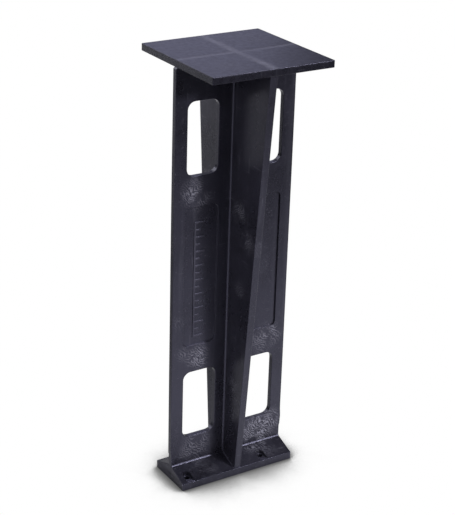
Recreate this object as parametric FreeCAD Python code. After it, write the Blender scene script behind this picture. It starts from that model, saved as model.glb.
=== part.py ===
import FreeCAD, Part
import os
import math
from FreeCAD import Vector as V

# ---------------------------------------------------------------------------
# Moulded support leg: a square load plate on a cruciform column, standing on
# a narrow screw-down foot. Millimetres, +Z up, origin at the centre of the
# foot's underside. The web lies in the XZ plane, the tapered fin in YZ.
# ---------------------------------------------------------------------------

# overall
H = 300.0                 # overall height

# load plate
PLATE_X = 88.6
PLATE_Y = 88.2
PLATE_T = 4.7
PLATE_CORNER_R = 1.0
PLATE_EDGE_R = 0.5

# foot
FOOT_X = 89.2
FOOT_Y = 36.8
FOOT_T = 5.3              # thickness at the outer edge
FOOT_RISE = 5.4           # extra height where the shoulders meet the web
FOOT_CORNER_R = 0.8
FOOT_EDGE_R = 0.5

# web, the flat panel that carries the windows
WEB_HALF = 45.0
WEB_HALF_LOW = 44.6       # flush with the foot's ends near the foot
WEB_STEP_Z = 20.5
WEB_T = 3.8
WEB_EDGE_R = 0.4

# fin, the blade across the web
FIN_T = 5.1
FIN_REACH_TOP = 43.2
FIN_REACH_LOW = 17.6
FIN_EDGE_R = 0.5

# windows, four in all, mirrored about the fin
WIN_OUT = 36.0
WIN_R = 5.5
UPPER_IN, UPPER_Z0, UPPER_Z1 = 13.0, 222.2, 272.2
LOWER_IN, LOWER_Z0, LOWER_Z1 = 10.6, 31.2, 81.2

# shallow panels let into both faces of the web, between the windows
PANEL_IN, PANEL_OUT = 11.8, 36.9
PANEL_Z0, PANEL_Z1 = 101.0, 201.0
PANEL_DEPTH = 1.2
PANEL_R = 4.0

# inside corner radii of the moulding
COVE = 1.0

# screw holes: one pair a side, staggered about the centre
HOLE_R = 2.0
HOLE_X_A = -37.6
HOLE_X_B = 22.4
HOLE_Y = 11.5
POCKET_R = 3.0

# raised tick relief on the front left panel
TICK_X0, TICK_LONG, TICK_SHORT = -29.2, 8.0, 4.6
TICK_Z0, TICK_Z1 = 107.0, 190.0
TICK_COUNT = 17
TICK_W = 1.2
TICK_H = 0.6

os.makedirs("parts", exist_ok=True)

Z_TOP = H - PLATE_T       # underside of the plate
Y_WEB = WEB_T / 2.0
X_FIN = FIN_T / 2.0
FX, FY = FOOT_X / 2.0, FOOT_Y / 2.0


def box(x0, y0, z0, x1, y1, z1):
    return Part.makeBox(x1 - x0, y1 - y0, z1 - z0, V(x0, y0, z0))


def face_of(points):
    return Part.Face(Part.makePolygon([V(*p) for p in points] + [V(*points[0])]))


def rounded_window(x0, z0, x1, z1, r, y0, y1):
    # rounded rectangle in XZ, swept from y0 to y1
    b = box(x0, y0, z0, x1, y1, z1)
    es = [e for e in b.Edges
          if abs(e.Vertexes[0].Point.x - e.Vertexes[1].Point.x) < 1e-6
          and abs(e.Vertexes[0].Point.z - e.Vertexes[1].Point.z) < 1e-6]
    return b.makeFillet(r, es)


def edges_where(shape, test):
    out = []
    for e in shape.Edges:
        if len(e.Vertexes) < 2:
            continue
        a, b = e.Vertexes[0].Point, e.Vertexes[1].Point
        if test(a, b):
            out.append(e)
    return out


def cove_prism(r, length, origin, along, side, up):
    # concave quarter fillet of radius r: fills the corner between the two
    # directions side and up, and runs for length in the direction along
    if side.cross(up).dot(along) < 0:
        origin, along = origin + along * length, along * -1
    p = Part.makeBox(r, r, length).cut(
        Part.makeCylinder(r, length + 2, V(r, r, -1), V(0, 0, 1)))
    return p.transformed(FreeCAD.Matrix(
        side.x, up.x, along.x, origin.x,
        side.y, up.y, along.y, origin.y,
        side.z, up.z, along.z, origin.z,
        0, 0, 0, 1))


def biggest(shape):
    s = sorted(shape.Solids, key=lambda q: -q.Volume)
    return s[0]


# --- fin halves --------------------------------------------------------------
def fin_half(sign):
    pts = [(-X_FIN, 0, FOOT_T), (-X_FIN, sign * FIN_REACH_LOW, FOOT_T),
           (-X_FIN, sign * FIN_REACH_TOP, Z_TOP), (-X_FIN, 0, Z_TOP)]
    blade = face_of(pts).extrude(V(FIN_T, 0, 0))
    es = edges_where(blade, lambda a, b: min(abs(a.y), abs(b.y)) > 5
                     and abs(a.z - b.z) > 100)
    blade = blade.makeFillet(FIN_EDGE_R, es)
    for sx in (-1, 1):
        blade = blade.fuse(cove_prism(
            COVE, Z_TOP - FOOT_T, V(sx * X_FIN, sign * Y_WEB, FOOT_T),
            V(0, 0, 1), V(sx, 0, 0), V(0, sign, 0)))
    return biggest(blade.removeSplitter())


fin_front = fin_half(-1)
fin_rear = fin_half(1)


# --- web halves --------------------------------------------------------------
def web_half(s):
    prof = [(s * X_FIN, -Y_WEB, FOOT_T), (s * WEB_HALF_LOW, -Y_WEB, FOOT_T),
            (s * WEB_HALF_LOW, -Y_WEB, WEB_STEP_Z - 1.2),
            (s * WEB_HALF, -Y_WEB, WEB_STEP_Z),
            (s * WEB_HALF, -Y_WEB, Z_TOP), (s * X_FIN, -Y_WEB, Z_TOP)]
    w = face_of(prof).extrude(V(0, WEB_T, 0))
    es = edges_where(w, lambda a, b: min(abs(a.x), abs(b.x)) > 44
                     and abs(a.y - b.y) < 1e-6 and abs(a.z - b.z) > 0.5)
    w = w.makeFillet(WEB_EDGE_R, es)
    for xi, z0, z1 in ((UPPER_IN, UPPER_Z0, UPPER_Z1),
                       (LOWER_IN, LOWER_Z0, LOWER_Z1)):
        x0, x1 = sorted((s * xi, s * WIN_OUT))
        w = w.cut(rounded_window(x0, z0, x1, z1, WIN_R, -5, 5))
    x0, x1 = sorted((s * PANEL_IN, s * PANEL_OUT))
    for ys in (-1, 1):
        y0, y1 = sorted((ys * (Y_WEB - PANEL_DEPTH), ys * 5))
        w = w.cut(rounded_window(x0, PANEL_Z0, x1, PANEL_Z1, PANEL_R, y0, y1))
    return biggest(w)


web_left = web_half(-1)
web_right = web_half(1)

# --- load plate with the small coves under it ---------------------------------
plate = box(-PLATE_X / 2, -PLATE_Y / 2, Z_TOP, PLATE_X / 2, PLATE_Y / 2, H)
plate = plate.makeFillet(PLATE_CORNER_R, edges_where(
    plate, lambda a, b: abs(a.z - b.z) > 1))
plate = plate.makeFillet(PLATE_EDGE_R, edges_where(
    plate, lambda a, b: abs(a.z - b.z) < 1e-6))
coves = None
for sy in (-1, 1):
    for sx in (-1, 1):
        c1 = cove_prism(COVE, 43.0 - X_FIN, V(sx * X_FIN, sy * Y_WEB, Z_TOP),
                        V(sx, 0, 0), V(0, sy, 0), V(0, 0, -1))
        c2 = cove_prism(COVE, FIN_REACH_TOP - 1.2 - Y_WEB,
                        V(sx * X_FIN, sy * Y_WEB, Z_TOP),
                        V(0, sy, 0), V(sx, 0, 0), V(0, 0, -1))
        for c in (c1, c2):
            coves = c if coves is None else coves.fuse(c)
load_plate = plate.fuse(coves)
for t in (fin_front, fin_rear, web_left, web_right):
    load_plate = load_plate.cut(t)
load_plate = biggest(load_plate)

# --- foot slab -----------------------------------------------------------------
slab = box(-FX, -FY, 0, FX, FY, FOOT_T)
slab = slab.makeFillet(FOOT_CORNER_R, edges_where(
    slab, lambda a, b: abs(a.z - b.z) > 1))
slab = slab.makeFillet(FOOT_EDGE_R, edges_where(
    slab, lambda a, b: abs(a.z - FOOT_T) < 1e-6 and abs(b.z - FOOT_T) < 1e-6
    and abs(abs(a.y) - FY) < 1e-6 and abs(abs(b.y) - FY) < 1e-6))
holes = [(HOLE_X_A, -HOLE_Y), (HOLE_X_B, -HOLE_Y),
         (-HOLE_X_A, HOLE_Y), (-HOLE_X_B, HOLE_Y)]
for hx, hy in holes:
    slab = slab.cut(Part.makeCylinder(HOLE_R, FOOT_T + 2, V(hx, hy, -1)))
foot_slab = biggest(slab)

# --- sloping shoulders on the foot, each with a driver pocket ------------------
Y_LOW = FY - FOOT_EDGE_R - 0.1          # where the slope starts
T = FOOT_RISE / (Y_LOW - Y_WEB)
TH = math.atan(T)


def shoulder(sx, sy):
    yc = Y_WEB + COVE
    zc = FOOT_T + T * (Y_LOW - yc) + COVE / math.cos(TH)
    # tangent points on the slope and on the web face
    ps = (yc + COVE * math.sin(TH), zc - COVE * math.cos(TH))
    pw = (Y_WEB, zc)
    mid_a = math.radians(180 + (90 - math.degrees(TH)) / 2.0)
    pm = (yc + COVE * math.cos(mid_a), zc + COVE * math.sin(mid_a))
    xa = sx * X_FIN

    def P(y, z):
        return V(xa, sy * y, z)
    wire = Part.Wire([
        Part.LineSegment(P(Y_WEB, FOOT_T), P(Y_LOW, FOOT_T)).toShape(),
        Part.LineSegment(P(Y_LOW, FOOT_T), P(*ps)).toShape(),
        Part.Arc(P(*ps), P(*pm), P(*pw)).toShape(),
        Part.LineSegment(P(*pw), P(Y_WEB, FOOT_T)).toShape()])
    s = Part.Face(wire).extrude(V(sx * (FX - X_FIN), 0, 0))
    # cove between the slope and the fin
    r = 0.8
    n = V(0, sy * math.sin(TH), math.cos(TH))
    d = V(0, -sy * math.cos(TH), math.sin(TH))      # up the slope
    o = V(xa, sy * Y_LOW, FOOT_T)
    L = (Y_LOW - Y_WEB) / math.cos(TH) + 0.5
    c = cove_prism(r, L, o, d, V(sx, 0, 0), n)
    x0, x1 = sorted((xa, sx * (X_FIN + 3)))
    y0, y1 = sorted((sy * Y_WEB, sy * Y_LOW))
    keep = box(x0, y0, FOOT_T, x1, y1, 30)
    s = s.fuse(c.common(keep)).removeSplitter()
    s = s.cut(fin_front).cut(fin_rear)
    for hx, hy in holes:
        if hx * sx > 0 and hy * sy > 0:
            s = s.cut(Part.makeCylinder(POCKET_R, 20, V(hx, hy, FOOT_T)))
            y0, y1 = sorted((hy, sy * (FY + 2)))
            s = s.cut(box(hx - POCKET_R, y0, FOOT_T, hx + POCKET_R, y1, 25))
    return biggest(s)


shoulders = {
    "shoulder_front_left": shoulder(-1, -1),
    "shoulder_front_right": shoulder(1, -1),
    "shoulder_rear_left": shoulder(-1, 1),
    "shoulder_rear_right": shoulder(1, 1),
}

# --- raised tick relief on the front left panel --------------------------------
yf = -(Y_WEB - PANEL_DEPTH)
ticks = box(TICK_X0, yf - TICK_H, TICK_Z0, TICK_X0 + TICK_W, yf, TICK_Z1)
for i in range(TICK_COUNT):
    zc = TICK_Z0 + TICK_W / 2 + (TICK_Z1 - TICK_Z0 - TICK_W) * i / (TICK_COUNT - 1)
    ln = TICK_LONG if i % 2 == 0 else TICK_SHORT
    ticks = ticks.fuse(box(TICK_X0, yf - TICK_H, zc - TICK_W / 2,
                           TICK_X0 + ln, yf, zc + TICK_W / 2))
tick_relief = biggest(ticks.removeSplitter())

nodes = {
    "load_plate": load_plate,
    "web_left": web_left,
    "web_right": web_right,
    "fin_front": fin_front,
    "fin_rear": fin_rear,
    "foot_slab": foot_slab,
    "tick_relief": tick_relief,
}
nodes.update(shoulders)

for name, s in nodes.items():
    print(name, "valid", s.isValid(), "solids", len(s.Solids), "volume", round(s.Volume, 1),
          "box", [round(v, 2) for v in (s.BoundBox.XMin, s.BoundBox.XMax, s.BoundBox.YMin,
                                        s.BoundBox.YMax, s.BoundBox.ZMin, s.BoundBox.ZMax)])
    s.exportStep("parts/" + name + ".step")
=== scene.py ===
import math
import random

import bmesh
import bpy
import numpy as np
from mathutils import Matrix, Vector
from mathutils.geometry import delaunay_2d_cdt


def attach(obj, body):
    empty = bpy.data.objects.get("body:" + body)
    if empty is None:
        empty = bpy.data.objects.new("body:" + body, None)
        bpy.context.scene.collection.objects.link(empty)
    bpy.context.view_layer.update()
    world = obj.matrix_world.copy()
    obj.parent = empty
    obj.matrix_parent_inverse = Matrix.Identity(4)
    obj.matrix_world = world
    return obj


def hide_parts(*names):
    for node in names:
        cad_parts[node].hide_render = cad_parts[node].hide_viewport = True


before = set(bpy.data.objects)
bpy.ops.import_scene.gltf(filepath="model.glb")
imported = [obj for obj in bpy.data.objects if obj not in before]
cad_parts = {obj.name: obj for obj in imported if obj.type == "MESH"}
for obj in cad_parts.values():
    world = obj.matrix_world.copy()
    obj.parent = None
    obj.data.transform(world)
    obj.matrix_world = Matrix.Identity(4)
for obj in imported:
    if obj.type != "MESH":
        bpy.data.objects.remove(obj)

random.seed(7)
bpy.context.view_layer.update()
MM = 0.001
BODY = "root"

# ---------------------------------------------------------------------------
# sizes, in millimetres, the same as the CAD's
# ---------------------------------------------------------------------------
H = 300.0
PLATE_X, PLATE_Y, PLATE_T = 88.6, 88.2, 4.7
Z_TOP = H - PLATE_T
FOOT_X, FOOT_Y, FOOT_T, FOOT_RISE = 89.2, 36.8, 5.3, 5.4
WEB_HALF, WEB_LOW, WEB_STEP_Z, WEB_T = 45.0, 44.6, 20.5, 3.8
YW = WEB_T / 2
XF = 5.1 / 2
REACH_TOP, REACH_LOW = 43.2, 17.6
WIN_OUT, WIN_R = 36.0, 5.5
WINDOWS = ((13.0, 222.2, 272.2), (10.6, 31.2, 81.2))
PAN_IN, PAN_OUT, PAN_Z0, PAN_Z1, PAN_D, PAN_R = 11.8, 36.9, 101.0, 201.0, 1.2, 4.0
HOLES = ((-37.6, -11.5), (22.4, -11.5), (37.6, 11.5), (-22.4, 11.5))
HOLE_R, POCKET_R = 2.0, 3.0


# ---------------------------------------------------------------------------
# small geometry helpers
# ---------------------------------------------------------------------------
def rr(x0, z0, x1, z1, r, d=0.0, nc=7, step=3.0):
    """Rounded rectangle grown by d, counter-clockwise, with the same number of
    points for every d. Straight runs are divided to about step."""
    out = []
    cs = [(x1 - r, z0 + r, -90), (x1 - r, z1 - r, 0), (x0 + r, z1 - r, 90), (x0 + r, z0 + r, 180)]
    R = r + d
    for i, (cx, cz, a0) in enumerate(cs):
        for k in range(nc + 1):
            a = math.radians(a0 + 90.0 * k / nc)
            out.append((cx + R * math.cos(a), cz + R * math.sin(a)))
        nx, nz, b0 = cs[(i + 1) % 4]
        a = math.radians(a0 + 90)
        p = (cx + R * math.cos(a), cz + R * math.sin(a))
        b = math.radians(b0)
        q = (nx + R * math.cos(b), nz + R * math.sin(b))
        n = max(1, int(round(math.hypot(nx - cx, nz - cz) / step)))
        for k in range(1, n):
            t = k / n
            out.append((p[0] + (q[0] - p[0]) * t, p[1] + (q[1] - p[1]) * t))
    return out


def divided(poly, step=3.0):
    out = []
    for i, p in enumerate(poly):
        q = poly[(i + 1) % len(poly)]
        n = max(1, int(round(math.dist(p, q) / step)))
        for k in range(n):
            t = k / n
            out.append((p[0] + (q[0] - p[0]) * t, p[1] + (q[1] - p[1]) * t))
    return out


def inset(poly, d):
    """Moves a counter-clockwise polygon inwards by d, with mitred corners."""
    out = []
    n = len(poly)
    for i in range(n):
        a, b, c = poly[i - 1], poly[i], poly[(i + 1) % n]
        e1 = (b[0] - a[0], b[1] - a[1]); e2 = (c[0] - b[0], c[1] - b[1])
        l1 = math.hypot(*e1); l2 = math.hypot(*e2)
        n1 = (-e1[1] / l1, e1[0] / l1); n2 = (-e2[1] / l2, e2[0] / l2)
        k = 1 + n1[0] * n2[0] + n1[1] * n2[1]
        out.append((b[0] + d * (n1[0] + n2[0]) / k, b[1] + d * (n1[1] + n2[1]) / k))
    return out


def inside(poly, x, y):
    c = False
    n = len(poly)
    for i in range(n):
        x1, y1 = poly[i - 1]; x2, y2 = poly[i]
        if (y1 > y) != (y2 > y) and x < (x2 - x1) * (y - y1) / (y2 - y1) + x1:
            c = not c
    return c


def quarter(rho, n=4):
    """(offset, depth) pairs of a quarter round from the face down to the wall."""
    return [(rho * (1 - math.sin(math.pi / 2 * k / n)), rho * (1 - math.cos(math.pi / 2 * k / n)))
            for k in range(n + 1)]


class Build:
    """Collects vertices and faces of one piece, in millimetres."""

    def __init__(self):
        self.v = []
        self.f = []

    def ring(self, pts):
        i0 = len(self.v)
        self.v.extend(pts)
        return list(range(i0, i0 + len(pts)))

    def bridge(self, a, b, flip=False, closed=True):
        n = len(a)
        for i in range(n if closed else n - 1):
            j = (i + 1) % n
            q = (a[i], a[j], b[j], b[i])
            self.f.append(q[::-1] if flip else q)

    def fill(self, outer, holes, to3, flip=False, grid=3.0):
        """Fills the flat region between loops with well-shaped triangles.
        outer and holes are (indices, 2D points); to3 maps 2D to 3D."""
        pts, idx, edges = [], [], []
        for ids, p2 in [outer] + holes:
            s = len(pts)
            pts.extend(p2); idx.extend(ids)
            m = len(p2)
            edges.extend((s + k, s + (k + 1) % m) for k in range(m))
        xs = [p[0] for p in outer[1]]; ys = [p[1] for p in outer[1]]
        loops = [outer[1]] + [h[1] for h in holes]
        bnd = np.array([p for l in loops for p in l])
        if grid:
            nx = max(1, int(round((max(xs) - min(xs)) / grid)))
            ny = max(1, int(round((max(ys) - min(ys)) / grid)))
            for i in range(1, nx):
                for j in range(1, ny):
                    x = min(xs) + (max(xs) - min(xs)) * i / nx
                    y = min(ys) + (max(ys) - min(ys)) * j / ny
                    if not inside(outer[1], x, y) or any(inside(h[1], x, y) for h in holes):
                        continue
                    if np.min((bnd[:, 0] - x) ** 2 + (bnd[:, 1] - y) ** 2) < (0.55 * grid) ** 2:
                        continue
                    pts.append((x, y)); idx.append(None)
        vs, _, fs, ov, _, _ = delaunay_2d_cdt([Vector(p) for p in pts], edges, [], 1, 1e-6)
        remap = []
        for k, o in enumerate(ov):
            src = next((i for i in o if i < len(idx) and idx[i] is not None), None)
            if src is not None:
                remap.append(idx[src])
            else:
                self.v.append(to3(vs[k].x, vs[k].y))
                remap.append(len(self.v) - 1)
        for t in fs:
            cx = sum(vs[i].x for i in t) / 3; cy = sum(vs[i].y for i in t) / 3
            if any(inside(h[1], cx, cy) for h in holes) or not inside(outer[1], cx, cy):
                continue
            a, b, c = (vs[i] for i in t)
            ccw = (b.x - a.x) * (c.y - a.y) - (b.y - a.y) * (c.x - a.x) > 0
            q = tuple(remap[i] for i in t)
            if len(set(q)) < 3:
                continue
            self.f.append(q if ccw != flip else q[::-1])

    def make(self, name, node, mat, angle=38.0, warp=None):
        v = np.array(self.v, float)
        if warp is not None:
            v = warp(v)
        me = bpy.data.meshes.new(name)
        me.from_pydata([tuple(p) for p in v * MM], [], self.f)
        me.validate()
        bm = bmesh.new()
        bm.from_mesh(me)
        bmesh.ops.remove_doubles(bm, verts=bm.verts, dist=1e-7)
        bmesh.ops.dissolve_degenerate(bm, edges=bm.edges, dist=1e-8)
        bmesh.ops.recalc_face_normals(bm, faces=bm.faces)
        if bm.calc_volume(signed=True) < 0:
            bmesh.ops.reverse_faces(bm, faces=bm.faces)
        for f in bm.faces:
            f.smooth = True
        lim = math.radians(angle)
        for e in bm.edges:
            e.smooth = not (len(e.link_faces) == 2 and e.calc_face_angle(0) > lim)
        bm.to_mesh(me)
        bm.free()
        return finish_piece(name, me, node, mat)


def finish_piece(name, me, node, mat):
    ob = bpy.data.objects.new(name, me)
    bpy.context.scene.collection.objects.link(ob)
    me.materials.append(mat)
    m = ob.modifiers.new("normals", "WEIGHTED_NORMAL")
    m.mode = "FACE_AREA_WITH_ANGLE"
    m.keep_sharp = True
    m.weight = 60
    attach(ob, BODY)
    if node:
        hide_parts(node)
    return ob


# ---------------------------------------------------------------------------
# material: black moulded plastic with flow marks, scuffs and a fine grain; the plate's version adds painted sheen bands
# on its top and painted shade on its sides
# ---------------------------------------------------------------------------
class Nodes:
    def __init__(self, name):
        self.m = bpy.data.materials.new(name)
        self.m.use_nodes = True
        self.t = self.m.node_tree
        self.t.nodes.clear()

    def add(self, kind, **kw):
        n = self.t.nodes.new(kind)
        for k, v in kw.items():
            setattr(n, k, v)
        return n

    def link(self, a, b):
        self.t.links.new(a, b)

    def val(self, sock, v):
        if hasattr(v, "is_output") or isinstance(v, bpy.types.NodeSocket):
            self.link(v, sock)
        else:
            sock.default_value = v

    def math(self, op, a, b=None, clamp=False):
        n = self.add("ShaderNodeMath", operation=op, use_clamp=clamp)
        self.val(n.inputs[0], a)
        if b is not None:
            self.val(n.inputs[1], b)
        return n.outputs[0]

    def noise(self, vec, scale, detail=2.0, rough=0.5, dist=0.0):
        n = self.add("ShaderNodeTexNoise")
        self.val(n.inputs["Vector"], vec)
        n.inputs["Scale"].default_value = scale
        n.inputs["Detail"].default_value = detail
        n.inputs["Roughness"].default_value = rough
        n.inputs["Distortion"].default_value = dist
        return n.outputs["Fac"]

    def ramp(self, fac, lo, hi, a=0.0, b=1.0, smooth=True):
        n = self.add("ShaderNodeMapRange", clamp=True)
        n.interpolation_type = "SMOOTHSTEP" if smooth else "LINEAR"
        self.val(n.inputs["Value"], fac)
        n.inputs["From Min"].default_value = lo
        n.inputs["From Max"].default_value = hi
        n.inputs["To Min"].default_value = a
        n.inputs["To Max"].default_value = b
        return n.outputs["Result"]

    def scaled(self, vec, s, r=(0, 0, 0), o=(0, 0, 0)):
        n = self.add("ShaderNodeMapping")
        self.val(n.inputs["Vector"], vec)
        n.inputs["Scale"].default_value = s
        n.inputs["Rotation"].default_value = r
        n.inputs["Location"].default_value = o
        return n.outputs["Vector"]

    def mix(self, fac, a, b):
        n = self.add("ShaderNodeMix", data_type="RGBA")
        self.val(n.inputs[0], fac)
        self.val(n.inputs[6], a)
        self.val(n.inputs[7], b)
        return n.outputs[2]


# patches of flow marks: centre (x, y, z) and radius in millimetres, and strength
PATCHES = (
    (-31, -2, 211, 13, 0.9), (-25, -2, 206, 9, 0.8), (-25, -2, 91, 12, 1.2), (-36, -2, 96, 8, 0.4),
    (33, -2, 95, 13, 0.9), (-27, -2, 20, 17, 0.7), (24, -2, 20, 20, 2.2), (36, -2, 26, 12, 1.4),
    (-2, -14, 196, 11, 0.6), (-2, -22, 184, 9, 0.5), (-2, -16, 142, 8, 0.45), (-2, -12, 70, 10, 0.35),
    (2, -25, 180, 14, 0.6), (24, -2, 150, 9, 0.4), (-41, -2, 120, 7, 0.3), (-22, -12, 8, 11, 0.35),
    (30, -12, 8, 10, 0.3), (-28, 2, 208, 14, 1.0), (27, 2, 92, 14, 0.8), (30, 2, 22, 16, 0.9),
    (-24, 2, 24, 15, 0.8), (-2, 24, 150, 14, 0.7), (2, 26, 210, 12, 0.7), (-22, -28, 300, 13, 0.25),
    (26, 22, 300, 14, 0.25), (24, 14, 8, 10, 0.5),
)


def plastic(name, tint=(0.0090, 0.0086, 0.0130), rough=0.30, cross=False):
    n = Nodes(name)
    tc = n.add("ShaderNodeTexCoord")
    obj = tc.outputs["Object"]
    wob = n.add("ShaderNodeTexNoise")
    n.link(obj, wob.inputs["Vector"])
    wob.inputs["Scale"].default_value = 110.0
    wob.inputs["Detail"].default_value = 2.0
    total = None
    for x, y, z, r, w in PATCHES:
        d = n.add("ShaderNodeVectorMath", operation="DISTANCE")
        n.link(obj, d.inputs[0])
        d.inputs[1].default_value = (x * MM, y * MM, z * MM)
        f = n.ramp(d.outputs["Value"], 0.15 * r * MM, r * MM, w, 0.0)
        total = f if total is None else n.math("MAXIMUM", total, f)
    ragged = n.noise(obj, 110.0, 3.0, 0.65)
    mask = n.math("MULTIPLY", total, n.ramp(ragged, 0.38, 0.58, 0.05, 1.0))
    # swirled flow lines, two sizes
    warped = n.add("ShaderNodeVectorMath", operation="MULTIPLY_ADD")
    n.link(wob.outputs["Color"], warped.inputs[0])
    warped.inputs[1].default_value = (0.0095, 0.0095, 0.0095)
    n.link(obj, warped.inputs[2])
    sw = n.add("ShaderNodeTexWave", wave_type="BANDS", bands_direction="DIAGONAL", wave_profile="SIN")
    n.link(warped.outputs["Vector"], sw.inputs["Vector"])
    sw.inputs["Scale"].default_value = 255.0
    sw.inputs["Distortion"].default_value = 4.6
    sw.inputs["Detail"].default_value = 2.0
    sw.inputs["Detail Scale"].default_value = 2.0
    streak = n.ramp(sw.outputs["Fac"], 0.58, 0.86)
    pit = n.ramp(n.noise(obj, 780.0, 2.0, 0.6), 0.47, 0.60)
    marks = n.math("MULTIPLY", n.math("MAXIMUM", n.math("MULTIPLY", streak, 1.15), n.math("MULTIPLY", pit, 0.35)), mask)
    # the rest of the surface: long flow lines, soft clouds, orange peel and a fine grain
    lines = n.noise(n.scaled(obj, (190.0, 190.0, 7.0)), 1.0, 3.0, 0.6, 0.4)
    cloud = n.noise(obj, 22.0, 3.0, 0.55)
    peel = n.noise(obj, 330.0, 2.0, 0.55)
    fine = n.noise(obj, 1100.0, 2.0, 0.6)
    grain = n.noise(obj, 2600.0, 1.0, 0.5)
    specks = n.ramp(n.noise(obj, 640.0, 1.0, 0.5), 0.70, 0.76)
    scr = n.noise(n.scaled(obj, (70.0, 70.0, 1000.0), (0.0, 0.42, 0.0)), 1.0, 1.0, 0.5)
    scr2 = n.noise(n.scaled(obj, (900.0, 900.0, 40.0), (0.0, -0.25, 0.3)), 1.0, 1.0, 0.5)
    scratch = n.math("MAXIMUM", n.ramp(scr, 0.70, 0.75), n.ramp(scr2, 0.72, 0.77))
    scratch = n.math("MULTIPLY", scratch, n.ramp(cloud, 0.42, 0.60))
    # colour
    light = n.math("MULTIPLY", marks, 0.62)
    light = n.math("ADD", light, n.math("MULTIPLY", specks, 0.14))
    light = n.math("ADD", light, n.math("MULTIPLY", scratch, 0.17))
    light = n.math("ADD", light, n.math("MULTIPLY", n.ramp(fine, 0.50, 0.72), 0.05))
    light = n.math("ADD", light, n.math("MULTIPLY", n.ramp(lines, 0.52, 0.74), 0.05), clamp=True)
    col = n.mix(n.ramp(cloud, 0.35, 0.65), (tint[0] * 0.75, tint[1] * 0.75, tint[2] * 0.75, 1),
                (tint[0] * 1.25, tint[1] * 1.25, tint[2] * 1.25, 1))
    if cross:
        # paler bands over the web and the fin, where the plate's top is drawn in: painted sheen, standing in for
        # brighter reflections off the sunk lines
        sep = n.add("ShaderNodeSeparateXYZ")
        n.link(obj, sep.inputs[0])
        wx = n.math("ADD", sep.outputs["X"], n.math("MULTIPLY", n.math("SUBTRACT", ragged, 0.5), 0.0035))
        wy = n.math("ADD", sep.outputs["Y"], n.math("MULTIPLY", n.math("SUBTRACT", ragged, 0.5), 0.0025))
        bx = n.ramp(n.math("ABSOLUTE", wx), 0.0006, 0.0046, 1.0, 0.0)
        by = n.ramp(n.math("ABSOLUTE", wy), 0.0002, 0.0030, 0.9, 0.0)
        band = n.math("MAXIMUM", bx, by)
        band = n.math("MULTIPLY", band, n.ramp(cloud, 0.30, 0.62, 0.45, 1.0))
        band = n.math("MULTIPLY", band, n.ramp(n.math("ABSOLUTE", sep.outputs["Y"]), 0.0433, 0.0439, 1.0, 0.0))
        band = n.math("MULTIPLY", band, n.ramp(n.math("ABSOLUTE", sep.outputs["X"]), 0.0435, 0.0441, 1.0, 0.0))
        band = n.math("MULTIPLY", band, n.ramp(sep.outputs["Z"], 0.2990, 0.2994))
        light = n.math("ADD", light, n.math("MULTIPLY", band, 0.30), clamp=True)
        # painted shade: the sides are coloured darker than the top, and their marks are dimmed
        upper = n.ramp(sep.outputs["Z"], 0.2988, 0.2996)
        light = n.math("MULTIPLY", light, n.ramp(upper, 0.0, 1.0, 0.35, 1.0, smooth=False))
        col = n.mix(upper, (tint[0] * 0.70, tint[1] * 0.70, tint[2] * 0.70, 1), col)
    col = n.mix(light, col, (0.170, 0.167, 0.205, 1))
    # roughness
    r = n.math("ADD", rough - 0.10, n.math("MULTIPLY", lines, 0.08))
    r = n.math("ADD", r, n.math("MULTIPLY", cloud, 0.08))
    r = n.math("ADD", r, n.math("MULTIPLY", n.ramp(peel, 0.35, 0.65), 0.05))
    r = n.math("ADD", r, n.math("MULTIPLY", n.math("MINIMUM", mask, 1.0), 0.05), clamp=True)
    if cross:
        r = n.math("ADD", r, n.ramp(sep.outputs["Z"], 0.2988, 0.2996, -0.06, 0.0), clamp=True)
    # bump
    h = n.math("MULTIPLY", fine, 0.55)
    h = n.math("ADD", h, n.math("MULTIPLY", grain, 0.15))
    h = n.math("ADD", h, n.math("MULTIPLY", peel, 1.1))
    h = n.math("ADD", h, n.math("MULTIPLY", lines, 0.8))
    h = n.math("ADD", h, n.math("MULTIPLY", marks, 2.6))
    h = n.math("SUBTRACT", h, n.math("MULTIPLY", scratch, 0.5))
    h = n.math("ADD", h, n.math("MULTIPLY", cloud, 6.0))
    bump = n.add("ShaderNodeBump")
    bump.inputs["Strength"].default_value = 0.8
    bump.inputs["Distance"].default_value = 0.00004
    n.link(h, bump.inputs["Height"])
    p = n.add("ShaderNodeBsdfPrincipled")
    n.link(col, p.inputs["Base Color"])
    n.link(r, p.inputs["Roughness"])
    n.link(bump.outputs["Normal"], p.inputs["Normal"])
    p.inputs["IOR"].default_value = 1.52
    p.inputs["Specular IOR Level"].default_value = 0.5
    p.inputs["Specular Tint"].default_value = (0.70, 0.69, 1.0, 1.0)
    out = n.add("ShaderNodeOutputMaterial")
    n.link(p.outputs["BSDF"], out.inputs["Surface"])
    return n.m


MAT = plastic("black_moulded_plastic")
MAT_TICKS = plastic("black_moulded_plastic_relief", tint=(0.020, 0.019, 0.027), rough=0.40)
MAT_TOP = plastic("black_moulded_plastic_top", rough=0.34, cross=True)


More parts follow.
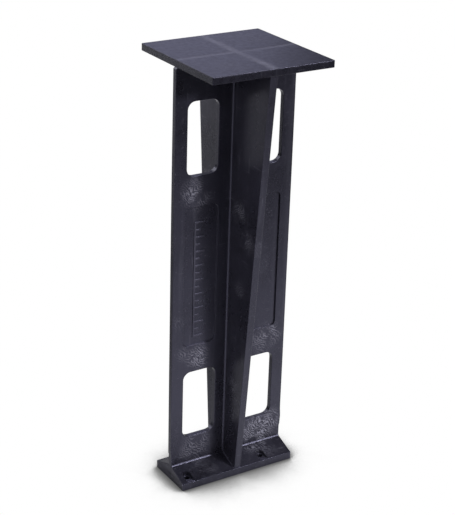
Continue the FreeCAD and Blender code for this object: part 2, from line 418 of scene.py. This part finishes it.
# ---------------------------------------------------------------------------
# web halves
# ---------------------------------------------------------------------------
def web(name, s):
    b = Build()
    rho, q = 0.28, quarter(0.28)
    # outline as counter-clockwise in (u, z), u = |x|
    out = divided([(XF, FOOT_T - 0.8), (WEB_LOW, FOOT_T - 0.8), (WEB_LOW, WEB_STEP_Z - 1.2),
                   (WEB_HALF, WEB_STEP_Z), (WEB_HALF, Z_TOP - 1.0), (PLATE_X / 2 - 0.4, Z_TOP + 0.1),
                   (PLATE_X / 2 - 0.4, Z_TOP + 0.8), (XF, Z_TOP + 0.8)])

    def place(u, z, y):
        return (s * u, y, z)

    # outer rings, front face to back face
    prof = [(d, -YW + w) for d, w in q] + [(d, YW - w) for d, w in q[::-1]]
    outer = []
    for d, y in prof:
        p2 = inset(out, d)
        outer.append((b.ring([place(u, z, y) for u, z in p2]), p2))
    for a, c in zip(outer, outer[1:]):
        b.bridge(a[0], c[0])
    # windows
    wins = []
    for xi, z0, z1 in WINDOWS:
        rs = []
        for d, y in prof:
            p2 = rr(xi, z0, WIN_OUT, z1, WIN_R, d)
            rs.append((b.ring([place(u, z, y) for u, z in p2]), p2))
        for a, c in zip(rs, rs[1:]):
            b.bridge(a[0], c[0], flip=True)
        wins.append(rs)
    # shallow panels on both faces
    for side, face, flip in ((-1, 0, False), (1, -1, True)):
        pan = []
        pq = [(0.14 * (1 - math.sin(math.pi / 2 * k / 3)), 0.14 * (1 - math.cos(math.pi / 2 * k / 3))) for k in range(4)]
        low = [(-0.15 * (1 - math.cos(math.pi / 2 * k / 3)) - 0.05, PAN_D - 0.15 + 0.15 * math.sin(math.pi / 2 * k / 3)) for k in range(4)]
        for d, w in pq + low:
            p2 = rr(PAN_IN, PAN_Z0, PAN_OUT, PAN_Z1, PAN_R, d)
            y = side * (YW - w)
            pan.append((b.ring([place(u, z, y) for u, z in p2]), p2))
        for a, c in zip(pan, pan[1:]):
            b.bridge(a[0], c[0], flip=not flip)
        yf = side * (YW - PAN_D)
        b.fill(pan[-1], [], lambda u, z, yf=yf: place(u, z, yf), flip=not flip)
        holes = [pan[0]] + [w[face] for w in wins]
        y = side * YW
        b.fill(outer[face], holes, lambda u, z, y=y: place(u, z, y), flip=not flip)

    def warp(v):
        # the panel isn't dead flat: slow waves of a few hundredths
        x, y, z = v[:, 0], v[:, 1], v[:, 2]
        free = np.clip((np.abs(x) - 4) / 8, 0, 1) * np.clip((z - 14) / 12, 0, 1) * np.clip((292 - z) / 12, 0, 1)
        v = v.copy()
        v[:, 1] += free * (0.05 * np.sin(z / 23.0 + s) + 0.04 * np.sin(x / 9.0 + z / 41.0))
        free_edge = np.clip((np.abs(x) - 38) / 7, 0, 1) * np.clip((z - 14) / 10, 0, 1) * np.clip((294 - z) / 8, 0, 1)
        if s < 0:
            v[:, 0] -= free_edge * 0.25 * np.sin(np.clip((z - 24) / 266, 0, 1) * math.pi)
        else:
            v[:, 0] += free_edge * 0.12 * np.sin(np.clip((z - 24) / 266, 0, 1) * math.pi)
            # stub of the runner that fed the mould
            v[:, 0] += free_edge * 0.45 * np.exp(-((z - 27) / 4.0) ** 2)
        return v
    return b.make(name, name, MAT, warp=warp)


web("web_left", -1)
web("web_right", 1)


# ---------------------------------------------------------------------------
# fin halves: one section lofted up the taper
# ---------------------------------------------------------------------------
def fin(name, sign):
    b = Build()
    r, cove = 0.28, 1.3
    nz = 96
    rings = []
    z0, z1 = FOOT_T - 0.6, Z_TOP + 0.6
    for k in range(nz + 1):
        z = z0 + (z1 - z0) * k / nz
        reach = REACH_LOW + (REACH_TOP - REACH_LOW) * (z - FOOT_T) / (Z_TOP - FOOT_T)
        half = []
        # from the middle of the front edge, round the corner, along the side to the web
        half.append((0.0, reach))
        half.append((XF - r - 0.6, reach))
        for i in range(5):
            a = math.pi / 2 * i / 4
            half.append((XF - r + r * math.sin(a), reach - r + r * math.cos(a)))
        n = 9
        y0, y1 = reach - r, YW + cove
        for i in range(1, n):
            half.append((XF, y0 + (y1 - y0) * i / n))
        for i in range(6):
            a = math.pi / 2 * i / 5
            half.append((XF + cove * (1 - math.cos(a)), YW + cove * (1 - math.sin(a))))
        half.append((XF + cove, YW - 0.6))
        half.append((0.0, YW - 0.6))
        left = [(-x, y) for x, y in half[1:-1]][::-1]
        loop = half + left
        rings.append(b.ring([(x, sign * y, z) for x, y in loop]))
    for a, c in zip(rings, rings[1:]):
        b.bridge(a, c)
    b.f.append(tuple(rings[0])); b.f.append(tuple(rings[-1])[::-1])

    def warp(v):
        v = v.copy()
        y, z = v[:, 1], v[:, 2]
        free = np.clip((np.abs(y) - 5) / 8, 0, 1) * np.clip((z - 14) / 14, 0, 1) * np.clip((290 - z) / 14, 0, 1)
        v[:, 0] += free * (0.06 * np.sin(z / 37.0 + sign) + 0.03 * np.sin(z / 13.0 + y / 9.0))
        return v
    return b.make(name, name, MAT, warp=warp)


fin("fin_front", -1)
fin("fin_rear", 1)


# ---------------------------------------------------------------------------
# foot slab
# ---------------------------------------------------------------------------
def slab():
    b = Build()
    q = quarter(0.10)
    fx, fy = FOOT_X / 2, FOOT_Y / 2
    prof = [(-d, FOOT_T - w) for d, w in q] + [(-d, w) for d, w in quarter(0.25)[::-1]]
    outer = []
    for d, z in prof:
        p2 = rr(-fx, -fy, fx, fy, 0.6, d, nc=5)
        outer.append((b.ring([(x, y, z) for x, y in p2]), p2))
    for a, c in zip(outer, outer[1:]):
        b.bridge(a[0], c[0])
    hs = []
    for hx, hy in HOLES:
        rs = []
        for d, z in [(dd, FOOT_T - w) for dd, w in quarter(0.25, 3)] + [(dd, w) for dd, w in quarter(0.25, 3)[::-1]]:
            p2 = [(hx + (HOLE_R + d) * math.cos(2 * math.pi * k / 32), hy + (HOLE_R + d) * math.sin(2 * math.pi * k / 32)) for k in range(32)]
            rs.append((b.ring([(x, y, z) for x, y in p2]), p2))
        for a, c in zip(rs, rs[1:]):
            b.bridge(a[0], c[0], flip=True)
        hs.append(rs)
    b.fill(outer[0], [h[0] for h in hs], lambda x, y: (x, y, FOOT_T))
    b.fill(outer[-1], [h[-1] for h in hs], lambda x, y: (x, y, 0.0), flip=True)
    return b.make("foot_slab", "foot_slab", MAT)


slab()


# ---------------------------------------------------------------------------
# sloping shoulders with driver pockets
# ---------------------------------------------------------------------------
Y_LOW = FOOT_Y / 2 - 0.6
TS = FOOT_RISE / (Y_LOW - YW)
TH = math.atan(TS)


def slope_z(y):
    return FOOT_T + TS * (Y_LOW - abs(y))


def shoulder_mesh(name, sx, sy):
    """Built by sweeping the side profile along X and cutting the pocket with a
    boolean, then rounding the pocket's rim."""
    cove_w, cove_f = 1.0, 0.8
    yc = YW + cove_w
    zc = FOOT_T + TS * (Y_LOW - yc) + cove_w / math.cos(TH)
    prof = [(YW - 0.5, FOOT_T - 0.4), (Y_LOW + 0.55, FOOT_T - 0.4), (Y_LOW + 0.3, FOOT_T - 0.06), (Y_LOW, FOOT_T + 0.012)]
    # slope, divided
    ps = (yc + cove_w * math.sin(TH), zc - cove_w * math.cos(TH))
    n = 8
    for k in range(1, n):
        t = k / n
        prof.append((Y_LOW + (ps[0] - Y_LOW) * t, FOOT_T + (ps[1] - FOOT_T) * t))
    # the cove: a narrow flat at 28.5 degrees, blended into the slope and the web
    fa, fl = math.radians(28.5), 0.85
    zt = slope_z(YW) + 0.95
    fb = (YW + 0.06 + fl * math.sin(fa), zt - 0.10 - fl * math.cos(fa))
    for k in range(6):
        t = k / 5
        c = (fb[0] + 0.12, fb[1] - 0.20)
        prof.append((ps[0] * (1 - t) ** 2 + 2 * t * (1 - t) * c[0] + t * t * fb[0],
                     ps[1] * (1 - t) ** 2 + 2 * t * (1 - t) * c[1] + t * t * fb[1]))
    prof.append(((fb[0] + YW + 0.06) / 2, (fb[1] + zt - 0.10) / 2))
    prof.append((YW + 0.06, zt - 0.10))
    prof.append((YW + 0.015, zt))
    prof.append((YW - 0.5, zt))
    xb = FOOT_X / 2
    r = 0.35
    fin_cove = 0.9
    near = [XF + v for v in (0.0, 0.06, 0.16, 0.32, 0.56, 0.90)]
    stations = [(XF - 0.4, 0.0, fin_cove)]
    for x in near:
        stations.append((x, 0.0, fin_cove - math.sqrt(max(0.0, fin_cove ** 2 - (fin_cove - (x - XF)) ** 2))))
    stations += [(near[-1] + (xb - near[-1] - r) * k / 14, 0.0, 0.0) for k in range(1, 15)]
    for k in range(1, 5):
        a = math.pi / 2 * k / 4
        stations.append((xb - r + r * math.sin(a), r * (1 - math.cos(a)), 0.0))
    me = bpy.data.meshes.new(name + "_body")
    verts, faces, rings = [], [], []
    for x, drop, lift in stations:
        ids = []
        for (y, z) in prof:
            zz = z
            if drop > 0 and z > FOOT_T + 0.01:
                zz = max(FOOT_T + 0.005, z - drop)
            if lift > 0 and z > FOOT_T + 0.01:
                zz = z + lift * min(1.0, max(0.0, (Y_LOW - y) / 1.8))
            ids.append(len(verts)); verts.append((sx * x * MM, sy * y * MM, zz * MM))
        rings.append(ids)
    for a, c in zip(rings, rings[1:]):
        m = len(a)
        for i in range(m):
            j = (i + 1) % m
            faces.append((a[i], a[j], c[j], c[i]))
    faces.append(tuple(rings[0])); faces.append(tuple(rings[-1])[::-1])
    me.from_pydata(verts, [], faces)
    bm = bmesh.new(); bm.from_mesh(me)
    bmesh.ops.recalc_face_normals(bm, faces=bm.faces)
    bm.to_mesh(me); bm.free()
    body = bpy.data.objects.new(name, me)
    bpy.context.scene.collection.objects.link(body)
    # cutter: a slot with a round back end, its wall flared at the rim
    hx, hy = [h for h in HOLES if h[0] * sx > 0 and h[1] * sy > 0][0]
    hx, hy = abs(hx), abs(hy)
    cm = bpy.data.meshes.new(name + "_cut")
    cb = bmesh.new()
    pr = POCKET_R
    out = [(hx + pr * math.cos(a), hy - pr * math.sin(a)) for a in [math.pi * k / 24 for k in range(25)]]
    out = out + [(hx - pr, hy + 4), (hx - pr, hy + 12), (hx + pr, hy + 12), (hx + pr, hy + 4)]
    lo = [cb.verts.new((sx * x * MM, sy * y * MM, (FOOT_T - 1.0) * MM)) for x, y in out]
    hi = [cb.verts.new((sx * x * MM, sy * y * MM, 30 * MM)) for x, y in out]
    m = len(out)
    for i in range(m):
        j = (i + 1) % m
        cb.faces.new((lo[i], lo[j], hi[j], hi[i]))
    cb.faces.new(lo[::-1]); cb.faces.new(hi)
    bmesh.ops.recalc_face_normals(cb, faces=cb.faces)
    cb.to_mesh(cm); cb.free()
    cut = bpy.data.objects.new(name + "_cut", cm)
    bpy.context.scene.collection.objects.link(cut)
    mod = body.modifiers.new("pocket", "BOOLEAN")
    mod.operation = "DIFFERENCE"; mod.solver = "EXACT"; mod.object = cut
    dg = bpy.context.evaluated_depsgraph_get()
    done = bpy.data.meshes.new_from_object(body.evaluated_get(dg))
    bpy.data.objects.remove(cut); bpy.data.objects.remove(body)
    # round the rim of the pocket
    bm = bmesh.new(); bm.from_mesh(done)
    bmesh.ops.remove_doubles(bm, verts=bm.verts, dist=2e-6)
    rim = []
    for e in bm.edges:
        if len(e.link_faces) != 2:
            continue
        mid = (e.verts[0].co + e.verts[1].co) / 2 / MM
        x, y = abs(mid.x), abs(mid.y)
        if mid.z < FOOT_T + 0.25 or y > Y_LOW - 0.6:
            continue
        d = abs(x - hx) - pr if y > hy else math.hypot(x - hx, y - hy) - pr
        if abs(d) < 0.06 and e.calc_face_angle(0) > math.radians(50) and abs(e.verts[0].co.z - e.verts[1].co.z) / MM < 1.6:
            rim.append(e)
    bmesh.ops.bevel(bm, geom=rim, offset=0.22 * MM, segments=3, profile=0.5, affect="EDGES", clamp_overlap=True)
    # smooth shading, edges sharper than 38 degrees kept sharp; the cove along the fin comes from the lift in the sweep
    # above
    for f in bm.faces:
        f.smooth = True
    for e in bm.edges:
        e.smooth = not (len(e.link_faces) == 2 and e.calc_face_angle(0) > math.radians(38))
    bmesh.ops.recalc_face_normals(bm, faces=bm.faces)
    bm.to_mesh(done); bm.free()
    done.name = name
    done.materials.clear()
    return finish_piece(name, done, name, MAT)


shoulder_mesh("shoulder_front_left", -1, -1)
shoulder_mesh("shoulder_front_right", 1, -1)
shoulder_mesh("shoulder_rear_left", -1, 1)
shoulder_mesh("shoulder_rear_right", 1, 1)


# ---------------------------------------------------------------------------
# load plate, its top drawn down a little over the web and the fin
# ---------------------------------------------------------------------------
def sink(x, y):
    a = 0.13 * np.exp(-(y / 2.6) ** 2) * np.clip((44 - np.abs(x)) / 6, 0, 1)
    c = 0.16 * np.exp(-(x / 3.6) ** 2) * np.clip((43 - np.abs(y)) / 6, 0, 1)
    broad = 0.10 * np.exp(-(x ** 2 + y ** 2) / 26.0 ** 2)
    return np.maximum(a, c) + broad + 0.012 * np.sin(x / 7.0) * np.cos(y / 8.0)


def load_plate():
    b = Build()
    px, py = PLATE_X / 2, PLATE_Y / 2
    prof = [(-d, H - w) for d, w in quarter(0.28)] + [(-d, Z_TOP + w) for d, w in quarter(0.22)[::-1]]
    outer = []
    for d, z in prof:
        p2 = rr(-px, -py, px, py, 0.6, d, nc=5, step=2.0)
        outer.append((b.ring([(x, y, z) for x, y in p2]), p2))
    for a, c in zip(outer, outer[1:]):
        b.bridge(a[0], c[0])
    b.fill(outer[0], [], lambda x, y: (x, y, H), grid=1.3)
    b.fill(outer[-1], [], lambda x, y: (x, y, Z_TOP), flip=True, grid=1.3)

    def warp(v):
        v = v.copy()
        x, y, z = v[:, 0], v[:, 1], v[:, 2]
        top = z > H - 0.01
        inner = top & (np.abs(x) < px - 0.4) & (np.abs(y) < py - 0.4)
        v[inner, 2] -= sink(x[inner], y[inner])
        return v
    return b.make("load_plate", "load_plate", MAT_TOP, warp=warp)


load_plate()


def coves():
    """Small coves under the plate, along both faces of the web and the fin."""
    r = 1.0
    b = Build()
    arc = [(r * (1 - math.sin(math.pi / 2 * k / 5)), r * (1 - math.cos(math.pi / 2 * k / 5))) for k in range(6)]
    for sy in (-1, 1):
        for sx in (-1, 1):
            # along the web: section in (y, z), swept in x
            n = 12
            rings = []
            for k in range(n + 1):
                x = sx * (XF - 0.4 + (43.0 - XF + 0.4) * k / n)
                ids = b.ring([(x, sy * (YW + d), Z_TOP - w) for d, w in arc] + [(x, sy * (YW - 0.4), Z_TOP - r), (x, sy * (YW - 0.4), Z_TOP + 0.4), (x, sy * (YW + r), Z_TOP + 0.4)])
                rings.append(ids)
            for a, c in zip(rings, rings[1:]):
                b.bridge(a, c)
            b.f.append(tuple(rings[0])); b.f.append(tuple(rings[-1])[::-1])
            rings = []
            for k in range(n + 1):
                y = sy * (YW - 0.46 + (42.0 - YW + 0.46) * k / n)
                ids = b.ring([(sx * (XF + d), y, Z_TOP - w) for d, w in arc] + [(sx * (XF - 0.46), y, Z_TOP - r), (sx * (XF - 0.46), y, Z_TOP + 0.43), (sx * (XF + r), y, Z_TOP + 0.43)])
                rings.append(ids)
            for a, c in zip(rings, rings[1:]):
                b.bridge(a, c)
            b.f.append(tuple(rings[0])); b.f.append(tuple(rings[-1])[::-1])
    return b.make("load_plate_coves", None, MAT)


coves()


# ---------------------------------------------------------------------------
# raised tick relief
# ---------------------------------------------------------------------------
def ticks():
    x0, w, h = -29.2, 1.2, 0.6
    z0, z1, n = 107.0, 190.0, 17
    yf = -(YW - PAN_D)
    poly = [(x0, z0)]
    for i in range(n):
        zc = z0 + w / 2 + (z1 - z0 - w) * i / (n - 1)
        ln = 8.0 if i % 2 == 0 else 4.6
        if i > 0:
            poly.append((x0 + w, zc - w / 2))
        poly.append((x0 + ln, zc - w / 2))
        poly.append((x0 + ln, zc + w / 2))
        if i < n - 1:
            poly.append((x0 + w, zc + w / 2))
    poly.append((x0, z1))
    me = bpy.data.meshes.new("tick_relief")
    bm = bmesh.new()
    vs = [bm.verts.new((x * MM, (yf + 0.3) * MM, z * MM)) for x, z in poly]
    f = bm.faces.new(vs)
    r = bmesh.ops.extrude_face_region(bm, geom=[f])
    moved = [g for g in r["geom"] if isinstance(g, bmesh.types.BMVert)]
    bmesh.ops.translate(bm, verts=moved, vec=(0, -(h + 0.3) * MM, 0))
    bmesh.ops.recalc_face_normals(bm, faces=bm.faces)
    yt = (yf - h) * MM
    top = [e for e in bm.edges if all(abs(v.co.y - yt) < 1e-7 for v in e.verts) or
           (abs(e.verts[0].co.x - e.verts[1].co.x) < 1e-9 and abs(e.verts[0].co.z - e.verts[1].co.z) < 1e-9)]
    bmesh.ops.bevel(bm, geom=top, offset=0.2 * MM, segments=3, profile=0.5, affect="EDGES", clamp_overlap=True)
    bmesh.ops.triangulate(bm, faces=[f for f in bm.faces if len(f.verts) > 4])
    for f in bm.faces:
        f.smooth = True
    for e in bm.edges:
        e.smooth = not (len(e.link_faces) == 2 and e.calc_face_angle(0) > math.radians(38))
    bm.to_mesh(me); bm.free()
    return finish_piece("tick_relief", me, "tick_relief", MAT_TICKS)


ticks()


# ---------------------------------------------------------------------------
# floor, light and camera
# ---------------------------------------------------------------------------
def floor():
    me = bpy.data.meshes.new("floor")
    s = 6.0
    me.from_pydata([(-s, -s, 0), (s, -s, 0), (s, s, 0), (-s, s, 0)], [], [(0, 1, 2, 3)])
    ob = bpy.data.objects.new("floor", me)
    bpy.context.scene.collection.objects.link(ob)
    n = Nodes("pale_floor")
    tc = n.add("ShaderNodeTexCoord")
    obj = tc.outputs["Object"]
    soft = n.noise(obj, 3.0, 2.0, 0.5)
    # to the camera the sheet glows paper white, with a soft painted contact shadow made from ambient occlusion in its
    # colour
    ao = n.add("ShaderNodeAmbientOcclusion", samples=16)
    ao.inputs["Distance"].default_value = 0.06
    cr = n.add("ShaderNodeValToRGB")
    n.link(ao.outputs["AO"], cr.inputs["Fac"])
    stops = ((0.54, 0.12), (0.61, 0.20), (0.70, 0.26), (0.75, 0.36), (0.79, 0.55), (0.84, 0.82), (0.88, 0.965), (0.915, 1.0))
    el = cr.color_ramp.elements
    while len(el) < len(stops):
        el.new(0.5)
    for e, (pos, v) in zip(el, stops):
        e.position = pos
        e.color = (v, v, v, 1)
    glow_with_painted_shadow = n.add("ShaderNodeEmission")
    n.link(cr.outputs["Color"], glow_with_painted_shadow.inputs["Color"])
    # a painted patch of light: to all but camera rays the sheet's colour is bright in front and darker farther out, so
    # it gives less light to the object from there
    d = n.add("ShaderNodeVectorMath", operation="DOT_PRODUCT")
    n.link(obj, d.inputs[0])
    d.inputs[1].default_value = (0.53, -0.85, 0.0)
    rise = n.ramp(d.outputs["Value"], -0.30, 0.10, 0.28, 1.0)
    d2 = n.add("ShaderNodeVectorMath", operation="DOT_PRODUCT")
    n.link(obj, d2.inputs[0])
    d2.inputs[1].default_value = (0.72, 0.69, 0.0)
    rise = n.math("MAXIMUM", rise, n.ramp(d2.outputs["Value"], 0.06, 0.24, 0.0, 0.85))
    fall = n.ramp(d.outputs["Value"], 0.10, 0.66, 0.93, 0.02, smooth=False)
    painted_light_pool = n.math("MULTIPLY", n.math("MULTIPLY", rise, fall), n.ramp(soft, 0.2, 0.8, 0.94, 0.98))
    # painted contact shadow: this colour is also darkened near the foot by ambient occlusion
    painted_light_pool = n.math("MULTIPLY", painted_light_pool, n.ramp(ao.outputs["AO"], 0.55, 0.92, 0.35, 1.0, smooth=False))
    gives = n.mix(painted_light_pool, (0, 0, 0, 1), (0.95, 0.95, 0.95, 1))
    lp = n.add("ShaderNodeLightPath")
    p = n.add("ShaderNodeBsdfDiffuse")
    n.link(gives, p.inputs["Color"])
    both = n.add("ShaderNodeMixShader")
    n.link(lp.outputs["Is Camera Ray"], both.inputs[0])
    n.link(p.outputs["BSDF"], both.inputs[1])
    n.link(glow_with_painted_shadow.outputs["Emission"], both.inputs[2])
    out = n.add("ShaderNodeOutputMaterial")
    n.link(both.outputs["Shader"], out.inputs["Surface"])
    me.materials.append(n.m)


floor()


def area(name, loc, at, size, size_y, power, color=(1, 1, 1)):
    li = bpy.data.lights.new(name, "AREA")
    li.shape = "RECTANGLE"
    li.size, li.size_y = size, size_y
    li.energy = power
    li.color = color
    ob = bpy.data.objects.new(name, li)
    bpy.context.scene.collection.objects.link(ob)
    ob.location = loc
    ob.rotation_mode = "QUATERNION"
    ob.rotation_quaternion = (Vector(at) - Vector(loc)).to_track_quat("-Z", "Y")
    return ob


def around(azimuth, elevation, distance):
    """azimuth from the front towards +X"""
    a, e = math.radians(azimuth), math.radians(elevation)
    return (distance * math.sin(a) * math.cos(e), -distance * math.cos(a) * math.cos(e), distance * math.sin(e) + 0.15)


area("key", around(22, 52, 1.5), (0, 0, 0.15), 0.35, 0.35, 10.0)
area("key_low", around(33, 26, 1.5), (0, 0, 0.10), 0.16, 0.16, 21.0)
area("back_high", around(180, 60, 1.8), (0, 0, 0.15), 2.0, 1.0, 2.2)
area("overhead", around(0, 89, 1.4), (0, 0, 0.15), 1.4, 1.4, 3.8)
area("back_right", around(160, 22, 2.6), (0, 0, 0.15), 1.4, 1.0, 4.3, (0.70, 0.71, 1.0))
area("back_left", around(205, 30, 2.2), (0, 0, 0.15), 1.4, 1.2, 14.0)
area("left_fill", around(-75, 25, 1.6), (0, 0, 0.15), 1.2, 1.0, 10.0)
area("strip", around(-62, 28, 1.5), (0, 0, 0.15), 0.14, 0.6, 3.4)
area("strip_back", around(-124, 30, 1.5), (0, 0, 0.05), 0.16, 0.5, 1.6)

world = bpy.data.worlds.new("studio")
bpy.context.scene.world = world
world.use_nodes = True
wt = world.node_tree
bg = wt.nodes["Background"]
bg.inputs["Color"].default_value = (0.95, 0.97, 1, 1)
bg.inputs["Strength"].default_value = 0.02
white = wt.nodes.new("ShaderNodeBackground")
white.inputs["Color"].default_value = (1, 1, 1, 1)
white.inputs["Strength"].default_value = 1.0
path = wt.nodes.new("ShaderNodeLightPath")
both = wt.nodes.new("ShaderNodeMixShader")
wt.links.new(path.outputs["Is Camera Ray"], both.inputs[0])
wt.links.new(bg.outputs["Background"], both.inputs[1])
wt.links.new(white.outputs["Background"], both.inputs[2])
wt.links.new(both.outputs["Shader"], wt.nodes["World Output"].inputs["Surface"])

# camera
cam = bpy.data.cameras.new("camera")
co = bpy.data.objects.new("camera", cam)
bpy.context.scene.collection.objects.link(co)
bpy.context.scene.camera = co
cam.sensor_fit = "AUTO"
cam.sensor_width = 36.0
cam.lens = 1413.41 * 36.0 / 515.0
cam.clip_start, cam.clip_end = 0.05, 20.0
az, el, roll = math.radians(-32.422), math.radians(23.332), math.radians(1.744)
back = Vector((math.sin(az) * math.cos(el), -math.cos(az) * math.cos(el), math.sin(el)))
right0 = (-back).cross(Vector((0, 0, 1))).normalized()
up0 = right0.cross(-back)
target = Vector((0, 0, 0.150)) + right0 * (-2.021 * MM) + up0 * (8.181 * MM)
co.location = target + back * 0.947306
right = right0 * math.cos(roll) + up0 * math.sin(roll)
up = -right0 * math.sin(roll) + up0 * math.cos(roll)
co.matrix_world = Matrix((
    (right.x, up.x, back.x, co.location.x),
    (right.y, up.y, back.y, co.location.y),
    (right.z, up.z, back.z, co.location.z),
    (0, 0, 0, 1)))

vs = bpy.context.scene.view_settings
vs.view_transform = "Standard"
vs.look = "None"
vs.exposure = 0.0
vs.gamma = 1.0
